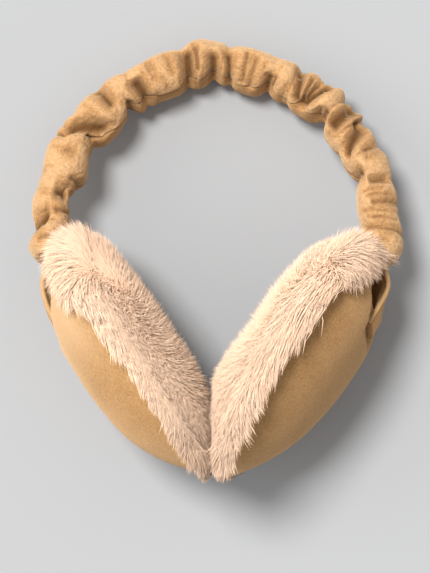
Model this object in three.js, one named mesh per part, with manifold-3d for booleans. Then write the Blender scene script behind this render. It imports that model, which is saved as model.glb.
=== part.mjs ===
// Fur earmuffs, lying on a table as they rest by themselves, in millimetres, +Z up.
// A ruched suede sleeve rings the head. Its two ends are gathered over flat suede strap ends, and each
// strap end is sewn into a pocket on the back of an ear pad: a suede shell that holds a stuffed fur cushion.
// +Y runs towards the crown of the headband and +X to the right ear pad as seen from above.
import * as THREE from "three";
import { mergeVertices } from "three/addons/utils/BufferGeometryUtils.js";
import Module from "manifold-3d";

const wasm = await Module();
wasm.setup();

// Cloth and the gaps that sewn pieces keep
const CLOTH = 1.5;
const SEAM_GAP = 0.4;
const SEWN_GAP = 0.3;
const FUR_GAP = 0.6;

// Headband: a ring in the plane that the head wears it in
const RING_RADIUS = 69.4;
const RING_RISE = 1.045;
const SLEEVE_THICKNESS = 18;
const SLEEVE_WIDTH = 25;
const RIGHT_END = -13;
const LEFT_END = 192;
const SEAM_ANGLE = 148;
const GATHER_LENGTH = 5;
const END_FLARE = 4.4;
const FLARE_LENGTH = 20;

// Strap ends: the flat tabs between the sleeve and the pads
const STRAP_THICKNESS = 3.6;
const STRAP_EDGE = 0.4;
const STRAP_WIDTH = 18;
const STRAP_TUCK = 7;
const STRAP_ROOM = { through: 0.6, across: 1 };
const STRAP_REACH = 0.34;
const STRAP_BOW = { across: 1.046, along: -0.447 };

// Ear pads: a shell of suede and a cushion of fur, each lens shaped
const PAD_LENGTH = 110;
const PAD_WIDTH = 92;
const SHELL_DEPTH = 23.6;
const SHELL_FULLNESS = 2.9;
const DEEPEST_AT = 0.21;
const PAD_LEAN = 31.8;
const PAD_ACROSS = 33.9;
const PAD_BELOW = 63;
const PAD_ROLL = { right: 6, left: 7 };

// The pocket of the strap end: where its mouth and its hollow are up the pad, as shares of half its length
const POCKET_WIDTH = 20;
const POCKET_MOUTH = 0.5;
const POCKET_HOLLOW = 0.68;
const HOLLOW_DEPTH = 6.5;

// Fur: a cushion, the dome under its pile, and the locks of the pile
const PILE_OVERHANG = 3;
const DOME_RISE = 17;
const DOME_FULLNESS = 3.4;
const CROWN_FULLNESS = 4.5;
const DOME_SHARE = 0.98;
const LOCK_LENGTH = 14;
const LOCK_RADIUS = 9.6;
const LOCK_FLATNESS = 0.55;
const LOCK_SINK = 4;
const LOCK_DROOP = 3;
const LOCK_UPRIGHT = 0.4;
const LOCK_UNEVENNESS = 0.08;
const PRESSED_LOCKS = 0.5;
const ROLLED_LONGER = 0.3;
const PADS_APART = 0.4;

// The fur rolled over the shell's rim: how far it stands out past the rim, half its thickness along that way
// and across it, and how high its middle is, on the pad's lower side, its upper side and at the crown
const ROLL_LOWER = { past: 3, out: 4, deep: 4, high: 1.5 };
const ROLL_UPPER = { past: 7, out: 6.5, deep: 9.5, high: -1.5 };
const ROLL_CROWN = { past: 6.5, out: 7.5, deep: 9, high: 4 };
const UPPER_FROM = 0.1;
const UPPER_TO = 0.75;

// At rest: how far the cloth is flattened, and how much pressed fur is left under the shells' rims
const FLATTENED = 1.6;
const PRESSED_FUR = 2;

// Every fold of the sleeve, from the right end round to the left: where it is on the ring in degrees, and how
// far its outer edge, its inner edge and its width stand out, as shares of half the sleeve's thickness or width
const FOLDS = [
  { at: -13, outer: 0.85, inner: 0.75, width: 0.85 },
  { at: -9, outer: 1.05, inner: 0.85, width: 1.05 },
  { at: -3, outer: 1.12, inner: 0.76, width: 1.0 },
  { at: 1, outer: 1.04, inner: 0.74, width: 0.96 },
  { at: 6, outer: 1.14, inner: 0.78, width: 1.02 },
  { at: 13, outer: 0.97, inner: 0.66, width: 0.92 },
  { at: 16, outer: 1.08, inner: 0.5, width: 0.98 },
  { at: 20, outer: 1.19, inner: 0.74, width: 1.06 },
  { at: 25, outer: 0.97, inner: 0.88, width: 1.0 },
  { at: 29, outer: 1.07, inner: 0.8, width: 0.92 },
  { at: 33, outer: 0.67, inner: 0.97, width: 0.86 },
  { at: 37, outer: 1.15, inner: 0.97, width: 1.06 },
  { at: 42, outer: 0.8, inner: 0.48, width: 0.84 },
  { at: 46, outer: 1.26, inner: 0.76, width: 1.06 },
  { at: 51, outer: 0.82, inner: 1.1, width: 0.88 },
  { at: 55, outer: 1.03, inner: 1.14, width: 1.04 },
  { at: 59, outer: 0.79, inner: 0.9, width: 0.86 },
  { at: 63, outer: 0.95, inner: 1.0, width: 1.02 },
  { at: 68, outer: 0.86, inner: 0.83, width: 0.9 },
  { at: 75, outer: 0.9, inner: 1.24, width: 1.05 },
  { at: 80, outer: 0.95, inner: 1.18, width: 1.0 },
  { at: 85, outer: 0.86, inner: 0.84, width: 0.88 },
  { at: 90, outer: 1.12, inner: 0.8, width: 0.98 },
  { at: 95, outer: 1.26, inner: 0.98, width: 1.08 },
  { at: 101, outer: 0.83, inner: 0.86, width: 0.86 },
  { at: 107, outer: 0.95, inner: 1.23, width: 1.06 },
  { at: 115, outer: 0.84, inner: 1.24, width: 1.05 },
  { at: 121, outer: 0.79, inner: 1.1, width: 0.88 },
  { at: 127, outer: 0.95, inner: 0.79, width: 0.96 },
  { at: 132, outer: 0.95, inner: 1.2, width: 0.98 },
  { at: 138, outer: 1.02, inner: 1.32, width: 1.08 },
  { at: 143, outer: 0.92, inner: 1.1, width: 0.92 },
  { at: 147, outer: 1.1, inner: 0.62, width: 0.86 },
  { at: 153, outer: 1.22, inner: 0.8, width: 1.02 },
  { at: 162, outer: 1.06, inner: 1.18, width: 1.1 },
  { at: 169, outer: 1.02, inner: 0.42, width: 0.88 },
  { at: 174, outer: 1.17, inner: 0.6, width: 1.04 },
  { at: 180, outer: 0.82, inner: 0.8, width: 0.86 },
  { at: 187, outer: 1.05, inner: 0.85, width: 1.06 },
  { at: 192, outer: 0.85, inner: 0.75, width: 0.85 },
];

// How the sleeve is twisted on its way round: degrees round the ring, and degrees that the section turns
const TWISTS = [
  { at: -13, turn: 24 },
  { at: 28, turn: 22 },
  { at: 46, turn: 0 },
  { at: 150, turn: 0 },
  { at: 166, turn: 22 },
  { at: 192, turn: 24 },
];

// Rings of fur locks over the dome: how far out each ring lies as a share of the rim, how many locks it
// holds, how far they lie over from straight out in degrees, their length as a share of a full lock, how far
// their tips fall back over the shell, and how many degrees further those on the pad's upper side are rolled
const LOCK_RINGS = [
  { out: 0.14, count: 3, lie: 44, length: 0.8, fall: 0, rolled: 0 },
  { out: 0.44, count: 7, lie: 52, length: 0.85, fall: 0, rolled: 0 },
  { out: 0.74, count: 10, lie: 58, length: 0.9, fall: 1, rolled: 6 },
  { out: 0.97, count: 14, lie: 82, length: 0.95, fall: 5, rolled: 42 },
];

const SLEEVE_STEPS = 64;
const COVER_SIDES = 11;
const STRIP_SIDES = 2;
const PAD_CELLS = 12;
const DOME_CELLS = 6;
const ROLL_STEPS = 28;
const ROLL_SIDES = 6;
const STRAP_STEPS = 6;

const UP = new THREE.Vector3(0, 0, 1);
const radians = THREE.MathUtils.degToRad;

// Sheets of cloth and stuffed forms are boxes whose cells are bent to shape: u and v run over the sheet and
// w through it, each from 0 to 1
function bentBox(cellsAlong, cellsAcross, cellsThrough, place) {
  const box = new THREE.BoxGeometry(1, 1, 1, cellsAlong, cellsAcross, cellsThrough);
  box.translate(0.5, 0.5, 0.5);
  box.deleteAttribute("normal");
  box.deleteAttribute("uv");
  const positions = box.getAttribute("position");
  for (let i = 0; i < positions.count; i++) {
    const at = place(positions.getX(i), positions.getY(i), positions.getZ(i));
    positions.setXYZ(i, at.x, at.y, at.z);
  }
  return facingOut(mergeVertices(box, 1e-4));
}

// A closed surface with its faces turned outwards, whichever way its sheet was bent
function facingOut(geometry) {
  const corners = geometry.index.array;
  const points = geometry.getAttribute("position");
  const [a, b, c] = [new THREE.Vector3(), new THREE.Vector3(), new THREE.Vector3()];
  let volume = 0;
  for (let i = 0; i < corners.length; i += 3) {
    a.fromBufferAttribute(points, corners[i]);
    b.fromBufferAttribute(points, corners[i + 1]);
    c.fromBufferAttribute(points, corners[i + 2]);
    volume += a.dot(b.cross(c));
  }
  if (volume < 0) {
    for (let i = 0; i < corners.length; i += 3) {
      [corners[i + 1], corners[i + 2]] = [corners[i + 2], corners[i + 1]];
    }
  }
  return geometry;
}

function solidOf(geometry) {
  const bare = geometry.clone();
  bare.deleteAttribute("normal");
  bare.deleteAttribute("uv");
  const merged = facingOut(mergeVertices(bare, 1e-4));
  return new wasm.Manifold(
    new wasm.Mesh({
      numProp: 3,
      vertProperties: new Float32Array(merged.getAttribute("position").array),
      triVerts: new Uint32Array(merged.index.array),
    }),
  );
}

function geometryOf(solid) {
  const mesh = solid.getMesh();
  return new THREE.BufferGeometry()
    .setAttribute("position", new THREE.BufferAttribute(mesh.vertProperties, 3))
    .setIndex(new THREE.BufferAttribute(mesh.triVerts, 1));
}

// Headband

// The value of one column of a table at a place between its rows: round at each crest and sharp in each dip,
// as gathered cloth is
function between(rows, column, at) {
  const next = rows.findIndex((row) => row.at > at);
  const after = next < 0 ? rows.length - 1 : Math.max(1, next);
  const [low, high] = [rows[after - 1], rows[after]];
  const way = (Math.PI / 2) * THREE.MathUtils.clamp((at - low.at) / (high.at - low.at), 0, 1);
  const share = high[column] > low[column] ? Math.sin(way) : 1 - Math.cos(way);
  return THREE.MathUtils.lerp(low[column], high[column], share);
}

// How far a place on the ring is from the nearer end of the sleeve, along the ring
function fromEnd(degrees) {
  return radians(Math.min(degrees - RIGHT_END, LEFT_END - degrees)) * RING_RADIUS;
}

// A point of the ring's centre line and the way out of the ring there
function ringAt(degrees) {
  const turn = radians(degrees);
  const flare = END_FLARE * (1 - THREE.MathUtils.smoothstep(fromEnd(degrees), 0, FLARE_LENGTH));
  const point = new THREE.Vector3(
    (RING_RADIUS + flare) * Math.cos(turn),
    (RING_RADIUS + flare) * RING_RISE * Math.sin(turn),
    0,
  );
  const outward = new THREE.Vector3(RING_RISE * Math.cos(turn), Math.sin(turn), 0).normalize();
  return { point, outward };
}

// A point of the sleeve's section, set in from its outside: degrees round the ring, then the cosine and sine
// of its turn round the section, from the outer edge over the top
function sectionPoint(degrees, cosine, sine, inset) {
  const { point, outward } = ringAt(degrees);
  const open = Math.sqrt(THREE.MathUtils.clamp(fromEnd(degrees) / GATHER_LENGTH, 0, 1));
  const edge = cosine > 0 ? "outer" : "inner";
  const full = (SLEEVE_THICKNESS / 2) * between(FOLDS, edge, degrees);
  const fullWidth = (SLEEVE_WIDTH / 2) * between(FOLDS, "width", degrees);
  const gathered = STRAP_THICKNESS / 2 + STRAP_ROOM.through + CLOTH;
  const gatheredWidth = STRAP_WIDTH / 2 + STRAP_ROOM.across + CLOTH;
  const out = THREE.MathUtils.lerp(gathered, full, open) - inset;
  const width = THREE.MathUtils.lerp(gatheredWidth, fullWidth, open) - inset;
  const soft = THREE.MathUtils.lerp(0.4, cosine > 0 ? 0.9 : 0.72, open);
  return point
    .clone()
    .addScaledVector(outward, out * Math.sign(cosine) * Math.abs(cosine) ** soft)
    .addScaledVector(UP, width * Math.sign(sine) * Math.abs(sine) ** soft);
}

// A panel of the sleeve between two angles round its section; settle moves each point as the rest on the
// table does, given how deep in the cloth the point lies
function sleevePanel(from, to, sides, settle) {
  return bentBox(SLEEVE_STEPS, sides, 1, (u, v, w) => {
    const degrees = THREE.MathUtils.lerp(RIGHT_END, LEFT_END, u);
    const around = radians(THREE.MathUtils.lerp(from, to, v) + between(TWISTS, "turn", degrees));
    const depth = (1 - w) * CLOTH;
    return settle(sectionPoint(degrees, Math.cos(around), Math.sin(around), depth), depth);
  });
}

function headbandCover(settle) {
  return sleevePanel(-SEAM_ANGLE, SEAM_ANGLE, COVER_SIDES, settle);
}

function headbandStrip(settle) {
  const start = SEAM_ANGLE + THREE.MathUtils.radToDeg(SEAM_GAP / (SLEEVE_WIDTH / 2));
  return sleevePanel(start, 360 - start, STRIP_SIDES, settle);
}

// The room that the sleeve takes, filled and a little larger than its outside
function sleeveRoom() {
  return bentBox(SLEEVE_STEPS, 4, 4, (u, v, w) => {
    const degrees = THREE.MathUtils.lerp(RIGHT_END, LEFT_END, u);
    const disc = onDisc(v, w);
    const out = disc.length();
    if (out < 1e-6) return ringAt(degrees).point;
    const middle = ringAt(degrees).point;
    return sectionPoint(degrees, disc.x / out, disc.y / out, -SEAM_GAP).lerp(middle, 1 - out);
  });
}

// Ear pads, each in its own frame: X up the pad to the crown, Y across it and Z into the ear

// A square's cell corner moved onto a disc
function onDisc(u, v) {
  const [a, b] = [2 * u - 1, 2 * v - 1];
  return new THREE.Vector2(a * Math.sqrt(1 - (b * b) / 2), b * Math.sqrt(1 - (a * a) / 2));
}

// The back of the pad, set in from the shell's outside, with the pocket that the strap end lies in
function shellPoint(disc, inset) {
  const out = Math.min(1, disc.length());
  const up = disc.x + DEEPEST_AT * (1 - out * out);
  const x = (PAD_LENGTH / 2 - inset) * up;
  const y = (PAD_WIDTH / 2 - inset) * disc.y;
  const seat = THREE.MathUtils.smoothstep(up, POCKET_MOUTH - 0.12, POCKET_MOUTH);
  const hollow = THREE.MathUtils.smoothstep(up, POCKET_MOUTH, POCKET_HOLLOW);
  const aside = Math.abs(PAD_WIDTH * disc.y);
  const inside = 1 - THREE.MathUtils.smoothstep(aside, POCKET_WIDTH, POCKET_WIDTH * 1.6);
  const pocket = ((STRAP_THICKNESS + SEWN_GAP) * seat + HOLLOW_DEPTH * hollow) * inside * (1 - out ** 6);
  const depth = (SHELL_DEPTH - inset) * (1 - out ** SHELL_FULLNESS) - pocket;
  return new THREE.Vector3(x, y, -Math.max(0, depth));
}

function shell() {
  return bentBox(PAD_CELLS, PAD_CELLS, 1, (u, v, w) => shellPoint(onDisc(u, v), w * CLOTH));
}

// The room that the shell takes, filled and a little larger than its outside
function shellRoom() {
  return bentBox(PAD_CELLS, PAD_CELLS, 1, (u, v, w) => {
    const at = shellPoint(onDisc(u, v), -FUR_GAP);
    return w > 0.5 ? at.setZ(SEWN_GAP) : at;
  });
}

// The cushion: it fills the shell, a little clear of it, and laps over the rim
function cushion() {
  const clear = CLOTH + FUR_GAP;
  return bentBox(PAD_CELLS, PAD_CELLS, 1, (u, v, w) => {
    const disc = onDisc(u, v);
    if (w > 0.5) return shellPoint(disc, clear).add(new THREE.Vector3(0, 0, SEWN_GAP));
    return domePoint(disc).setZ(SEWN_GAP + CLOTH);
  });
}

// The front of the pad, under its pile: fullest towards the crown
function domePoint(disc) {
  const out = Math.min(1, disc.length());
  const fullness = DOME_FULLNESS + CROWN_FULLNESS * Math.max(0, disc.x) ** 2;
  return new THREE.Vector3(
    (PAD_LENGTH / 2 + PILE_OVERHANG) * disc.x,
    (PAD_WIDTH / 2 + PILE_OVERHANG) * disc.y,
    SEWN_GAP + CLOTH + DOME_RISE * (1 - out ** fullness),
  );
}

function dome() {
  return bentBox(DOME_CELLS, DOME_CELLS, 1, (u, v, w) => {
    const disc = onDisc(u, v).multiplyScalar(DOME_SHARE);
    return w > 0.5 ? domePoint(disc).setZ(SEWN_GAP + CLOTH / 2) : domePoint(disc);
  });
}

// How far a way out from the pad's middle faces the side that the pad turns up as it rests, from 0 to 1
function upperShare(out, side) {
  return THREE.MathUtils.smoothstep(-side * out.y, UPPER_FROM, UPPER_TO);
}

// The fur rolled over the rim, all round the pad
function rimRoll(side) {
  const ring = new THREE.TorusGeometry(1, 0.5, ROLL_SIDES, ROLL_STEPS);
  const positions = ring.getAttribute("position");
  for (let i = 0; i < positions.count; i++) {
    const step = (i % (ROLL_STEPS + 1)) % ROLL_STEPS;
    const corner = Math.floor(i / (ROLL_STEPS + 1)) % ROLL_SIDES;
    const turn = (2 * Math.PI * step) / ROLL_STEPS;
    const round = (2 * Math.PI * corner) / ROLL_SIDES;
    const out = new THREE.Vector3(Math.cos(turn), Math.sin(turn), 0);
    const [past, half, deep, high] = ["past", "out", "deep", "high"].map((size) => {
      const level = THREE.MathUtils.lerp(ROLL_LOWER[size], ROLL_UPPER[size], upperShare(out, side));
      return THREE.MathUtils.lerp(level, ROLL_CROWN[size], Math.max(0, out.x) ** 2);
    });
    const at = new THREE.Vector3((PAD_LENGTH / 2) * out.x, (PAD_WIDTH / 2) * out.y, high)
      .addScaledVector(out, past - half + half * Math.cos(round))
      .add(new THREE.Vector3(0, 0, deep * Math.sin(round)));
    positions.setXYZ(i, at.x, at.y, at.z);
  }
  return solidOf(ring);
}

// One lock: a fat cone that curves over as it grows, from under the dome's surface
function lock(root, out, lie, length, fall) {
  const cone = new THREE.ConeGeometry(LOCK_RADIUS, 1, 5, 2, false);
  const positions = cone.getAttribute("position");
  const side = new THREE.Vector3(0, 0, 1).cross(out).normalize();
  for (let i = 0; i < positions.count; i++) {
    const grown = positions.getY(i) + 0.5;
    const bend = lie * THREE.MathUtils.lerp(LOCK_UPRIGHT, 1, grown);
    const fat = 1 + grown;
    const along = new THREE.Vector3(0, 0, Math.cos(bend)).addScaledVector(out, Math.sin(bend));
    const over = new THREE.Vector3(0, 0, -Math.sin(bend)).addScaledVector(out, Math.cos(bend));
    const at = root
      .clone()
      .addScaledVector(along, grown * length - LOCK_SINK)
      .addScaledVector(side, positions.getX(i) * fat)
      .addScaledVector(over, positions.getZ(i) * fat * LOCK_FLATNESS)
      .add(new THREE.Vector3(-LOCK_DROOP, 0, -fall).multiplyScalar(grown * grown));
    positions.setXYZ(i, at.x, at.y, at.z);
  }
  return solidOf(cone);
}

// The pile lies over the shell's rim without entering it: on the side that the pad turns up as it rests, the
// locks at the rim are longer and are rolled back over the shell
function furSolid(side) {
  let pile = solidOf(dome()).add(rimRoll(side));
  for (const [index, ring] of LOCK_RINGS.entries()) {
    for (let i = 0; i < ring.count; i++) {
      const turn = ((i + 0.5 * (index % 2)) / ring.count) * 2 * Math.PI;
      const out = new THREE.Vector3(Math.cos(turn), Math.sin(turn), 0);
      const root = domePoint(new THREE.Vector2(out.x, out.y).multiplyScalar(ring.out));
      const upper = upperShare(out, side);
      const lie = radians(ring.lie + ring.rolled * upper);
      const pressed = PRESSED_LOCKS * Math.max(0, -out.x) ** 3;
      const uneven = LOCK_UNEVENNESS * Math.cos(5 * turn + index);
      const grown = ring.rolled > 0 ? ROLLED_LONGER * upper : 0;
      const length = LOCK_LENGTH * ring.length * (1 + uneven + grown - pressed);
      pile = pile.add(lock(root, out, lie, length, ring.fall));
    }
  }
  return pile.subtract(solidOf(shellRoom())).add(solidOf(cushion()));
}

// The pad's frame in the ring's plane, on the side of the right or left ear, rolled about its own length
function padFrame(side) {
  const roll = radians(side > 0 ? PAD_ROLL.right : PAD_ROLL.left);
  const up = new THREE.Vector3(side * Math.sin(radians(PAD_LEAN)), Math.cos(radians(PAD_LEAN)), 0);
  const inward = new THREE.Vector3(-side * Math.cos(radians(PAD_LEAN)), Math.sin(radians(PAD_LEAN)), 0);
  const across = inward.clone().cross(up);
  return new THREE.Matrix4()
    .makeBasis(up, across, inward)
    .setPosition(side * PAD_ACROSS, -PAD_BELOW, 0)
    .multiply(new THREE.Matrix4().makeRotationX(-roll));
}

// Strap ends: from inside the sleeve, bowed clear of the pad, to the seat in the pad's pocket, turning on the
// way as the pad is rolled
function strapEnd(side) {
  const end = side > 0 ? RIGHT_END : LEFT_END;
  const tucked = end + (side * STRAP_TUCK) / radians(RING_RADIUS);
  const seat = shellPoint(new THREE.Vector2(STRAP_REACH, 0), 0)
    .sub(new THREE.Vector3(0, 0, STRAP_THICKNESS / 2 + SEWN_GAP))
    .applyMatrix4(padFrame(side));
  const bow = new THREE.Vector3(
    side * RING_RADIUS * STRAP_BOW.across,
    RING_RADIUS * STRAP_BOW.along,
    0,
  );
  const line = new THREE.CatmullRomCurve3([ringAt(tucked).point, ringAt(end).point, bow, seat]);
  const padUp = new THREE.Vector3(0, -side, 0).transformDirection(padFrame(side));
  return bentBox(STRAP_STEPS, 4, 1, (u, v, w) => {
    const up = UP.clone().lerp(padUp, THREE.MathUtils.smoothstep(u, 0.3, 0.8));
    const through = line.getTangentAt(u).cross(up).normalize();
    const across = through.clone().cross(line.getTangentAt(u));
    const thickness = STRAP_THICKNESS * (STRAP_EDGE + (1 - STRAP_EDGE) * (1 - (2 * v - 1) ** 4));
    return line
      .getPointAt(u)
      .addScaledVector(through, (w - 0.5) * thickness)
      .addScaledVector(across, (v - 0.5) * STRAP_WIDTH);
  });
}

// At rest: the ring's plane tilts until the crown and both pads lie on the table

const coverPoints = pointsOf(headbandCover((at) => at));
const rimPoints = [1, -1].flatMap((side) => pointsOf(shell().applyMatrix4(padFrame(side))));

function pointsOf(geometry) {
  const positions = geometry.getAttribute("position");
  return Array.from({ length: positions.count }, (_, i) =>
    new THREE.Vector3().fromBufferAttribute(positions, i),
  );
}

function lowest(points, tilt) {
  return Math.min(...points.map((p) => p.z * Math.cos(tilt) - p.y * Math.sin(tilt)));
}

function restTilt() {
  let [low, high] = [0, Math.PI / 4];
  for (let i = 0; i < 40; i++) {
    const tilt = (low + high) / 2;
    if (lowest(coverPoints, tilt) + FLATTENED > lowest(rimPoints, tilt) - PRESSED_FUR) low = tilt;
    else high = tilt;
  }
  return low;
}

const tilt = restTilt();
const lift = PRESSED_FUR - lowest(rimPoints, tilt);
const laid = new THREE.Matrix4().makeRotationX(-tilt).setPosition(0, 0, lift);

// Moves what lies under the table's top onto it, keeping the cloth's thickness
function settled(at, depth) {
  const resting = at.clone().applyMatrix4(laid);
  resting.z = Math.max(resting.z, depth);
  return resting.applyMatrix4(laid.clone().invert());
}

// The fur of one pad, cut flat where it lies on the table and where it meets the other pad
function furOf(side) {
  const reach = 4 * PAD_LENGTH;
  const half = new THREE.BoxGeometry(reach, reach, reach)
    .translate(side * (reach / 2 + PADS_APART / 2), 0, 0);
  const above = new THREE.BoxGeometry(reach, reach, reach)
    .translate(0, 0, reach / 2)
    .applyMatrix4(laid.clone().invert());
  const placed = solidOf(geometryOf(furSolid(side)).applyMatrix4(padFrame(side)));
  const clear = placed.subtract(solidOf(sleeveRoom()));
  return geometryOf(clear.intersect(solidOf(half)).intersect(solidOf(above)));
}

const suede = new THREE.MeshStandardMaterial({ color: 0xc49a66, roughness: 0.95, metalness: 0 });
const fleece = new THREE.MeshStandardMaterial({ color: 0xf4d9be, roughness: 1, metalness: 0 });

function piece(name, geometry, material) {
  const mesh = new THREE.Mesh(geometry, material);
  mesh.name = name;
  return mesh;
}

const worn = new THREE.Group();
worn.add(piece("headband_cover", headbandCover(settled), suede));
worn.add(piece("headband_inner_strip", headbandStrip(settled), suede));
for (const [ear, side] of [["right", 1], ["left", -1]]) {
  worn.add(piece(`strap_end_${ear}`, strapEnd(side), suede));
  worn.add(piece(`pad_shell_${ear}`, shell().applyMatrix4(padFrame(side)), suede));
  worn.add(piece(`fur_pad_${ear}`, furOf(side), fleece));
}
worn.applyMatrix4(laid);

// The origin is on the table, under the middle of the whole object
const earmuffs = new THREE.Group();
earmuffs.add(worn);
const bounds = new THREE.Box3().setFromObject(earmuffs, true);
const middle = bounds.getCenter(new THREE.Vector3());
worn.position.x -= middle.x;
worn.position.y -= middle.y;

export default earmuffs;
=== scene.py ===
# %% [markdown]
# # Fur earmuffs, lying on a table
#
# The real thing is a soft headband with an ear pad at each end. The band is a long tube of suede, gathered so
# that it puffs and creases all the way round. Each pad is a shell of suede on the outside and thick fur on the
# inside. Nothing on it is hard, so every shape here is cloth or hair.
#
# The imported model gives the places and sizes. This script dresses it: a finer piece stands for each solid, and
# every piece stays where its solid is.

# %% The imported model
import math

import bmesh
import bpy
import numpy as np
from mathutils import Matrix, Vector


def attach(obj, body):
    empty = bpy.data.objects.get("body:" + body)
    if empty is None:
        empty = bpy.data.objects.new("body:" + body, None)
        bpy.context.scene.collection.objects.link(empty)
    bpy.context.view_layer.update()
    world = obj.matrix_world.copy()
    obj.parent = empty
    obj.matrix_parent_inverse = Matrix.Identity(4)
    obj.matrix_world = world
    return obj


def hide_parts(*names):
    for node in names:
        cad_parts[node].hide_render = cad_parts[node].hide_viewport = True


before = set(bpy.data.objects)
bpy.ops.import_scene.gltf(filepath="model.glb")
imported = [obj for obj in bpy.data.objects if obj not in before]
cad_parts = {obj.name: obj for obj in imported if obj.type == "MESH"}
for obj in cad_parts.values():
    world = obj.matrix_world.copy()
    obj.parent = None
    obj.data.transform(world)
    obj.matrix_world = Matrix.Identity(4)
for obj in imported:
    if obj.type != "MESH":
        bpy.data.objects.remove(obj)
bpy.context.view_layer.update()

# %% [markdown]
# ## The camera
#
# The photograph looks straight down at the table from a good way off, so a long lens high above the object
# gives the same flat view. The picture is 430 by 573, and 0.43 mm of the object fills one of its pixels halfway
# up the pads. The camera could be found by eye, but those two numbers give its lens exactly.

# %% A camera straight above
MM = 0.001
PICTURE_HEIGHT = 573
PIXEL = 0.43 * MM
CAMERA_HEIGHT = 1.5
HALFWAY_UP = 50 * MM
LOOKS_AT = (0.0, -10.8 * MM)
SENSOR_WIDTH = 36

camera = bpy.data.objects.new("camera", bpy.data.cameras.new("camera"))
bpy.context.collection.objects.link(camera)
camera.data.sensor_width = SENSOR_WIDTH
camera.data.lens = SENSOR_WIDTH * CAMERA_HEIGHT / (PICTURE_HEIGHT * PIXEL)
camera.location = (*LOOKS_AT, HALFWAY_UP + CAMERA_HEIGHT)
bpy.context.scene.camera = camera
print("lens", round(camera.data.lens, 1), "mm")

# %% [markdown]
# ## Where things are
#
# The band is easiest to think about as the head wears it: a flat ring with the pads hanging from its ends. On
# the table the whole thing leans back a little, until the crown and both pads touch. One matrix does that lean,
# and each pad has a matrix of its own inside it. Shapes are worked out upright and laid down at the end.

# %% The lean on the table, and the frame of each pad
LEANS_BACK = 0.2756
LAID_AT = Vector((-0.156, 16.911, 31.332)) * MM
LAID = Matrix.Translation(LAID_AT) @ Matrix.Rotation(-LEANS_BACK, 4, "X")
PAD_LEAN = math.radians(31.8)
PAD_PLACE = (33.9 * MM, -63 * MM)
PAD_ROLL = {1: math.radians(6), -1: math.radians(7)}
PADS = {"right": 1, "left": -1}


def pad_frame(side):
    """The frame of the right pad, side 1, or the left one, side -1: x to its crown end, z to the head."""
    up = Vector((side * math.sin(PAD_LEAN), math.cos(PAD_LEAN), 0))
    inward = Vector((-side * math.cos(PAD_LEAN), math.sin(PAD_LEAN), 0))
    across = inward.cross(up)
    axes = Matrix((up, across, inward)).transposed().to_4x4()
    place = Matrix.Translation((side * PAD_PLACE[0], PAD_PLACE[1], 0))
    return LAID @ place @ axes @ Matrix.Rotation(-PAD_ROLL[side], 4, "X")


def moved(matrix, points):
    """Points as rows of an array, moved by a matrix."""
    m = np.array(matrix)
    return points @ m[:3, :3].T + m[:3, 3]


def unit(vectors):
    """Vectors of length 1 that point the same way."""
    return vectors / np.maximum(np.linalg.norm(vectors, axis=-1, keepdims=True), 1e-12)


print("the band leans back", round(math.degrees(LEANS_BACK), 1), "degrees")

# %% [markdown]
# ## Suede
#
# Suede is leather with a raised nap. It has no gloss, and it is mottled where the nap lies one way or the other.
# Light and shade are painted into its colour as well: a painted highlight that turns it pale at the rims, on the
# crests of the puffs and on the left pad's lit side, and painted shade that makes it darker down in a crease. An
# image of suede would show all that, but only from one side. A group of noise textures does it all round, and
# the band and the pads share the group with their own colours. Masks made with each piece say where the painted
# shade and the painted highlight go, and a last input adds small puckers, which the gathered pieces have most
# of.

# %% Helpers for materials


def colour(red, green, blue):
    """A colour as it looks on a screen, from 0 to 255, made linear for the shader."""
    screen = [c / 255 for c in (red, green, blue)]
    return (*(c / 12.92 if c < 0.04045 else ((c + 0.055) / 1.055) ** 2.4 for c in screen), 1.0)


def set_on(shader, **values):
    """Values that are the same all over, set on a shader's or a group's own inputs."""
    for name, value in values.items():
        shader.inputs[name.replace("_", " ")].default_value = value


def group_of(name, inputs, outputs):
    """An empty node group with its named sockets, and its two end nodes."""
    tree = bpy.data.node_groups.new(name, "ShaderNodeTree")
    for way, sockets in (("INPUT", inputs), ("OUTPUT", outputs)):
        for socket, kind in sockets.items():
            tree.interface.new_socket(socket, in_out=way, socket_type="NodeSocket" + kind)
    return tree, tree.nodes.new("NodeGroupInput"), tree.nodes.new("NodeGroupOutput")


def node(tree, kind, **values):
    """A new node whose settings and inputs have the values that are given."""
    made = tree.nodes.new(kind)
    for name, value in values.items():
        if hasattr(made, name):
            setattr(made, name, value)
        else:
            set_on(made, **{name: value})
    return made


def feed(tree, socket, value):
    """Into a socket goes another node's output, or else a value that is the same all over."""
    if isinstance(value, bpy.types.NodeSocket):
        tree.links.new(value, socket)
    else:
        socket.default_value = value


def noise(tree, where, scale, detail=3.0, roughness=0.6):
    made = node(tree, "ShaderNodeTexNoise", Scale=scale, Detail=detail, Roughness=roughness)
    tree.links.new(where, made.inputs["Vector"])
    return made.outputs["Fac"]


def math_node(tree, operation, a, b=0.0, clamp=False):
    made = node(tree, "ShaderNodeMath", operation=operation, use_clamp=clamp)
    for socket, value in zip(made.inputs, (a, b)):
        feed(tree, socket, value)
    return made.outputs[0]


def scaled(tree, value, by, plus=0.0):
    """A value times one number, and plus another where one is given."""
    product = math_node(tree, "MULTIPLY", value, by)
    return math_node(tree, "ADD", product, plus) if plus else product


def spread(tree, value, low, high):
    """The part of a value from low to high, stretched to run from 0 to 1."""
    made = node(tree, "ShaderNodeMapRange", From_Min=low, From_Max=high)
    tree.links.new(value, made.inputs["Value"])
    return made.outputs["Result"]


def blend(tree, share, a, b):
    """A colour from a to b."""
    made = node(tree, "ShaderNodeMix", data_type="RGBA")
    for socket, value in zip((made.inputs["Factor"], made.inputs[6], made.inputs[7]), (share, a, b)):
        feed(tree, socket, value)
    return made.outputs[2]


print("half grey on a screen is", round(colour(128, 128, 128)[0], 2), "to a shader")
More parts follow.
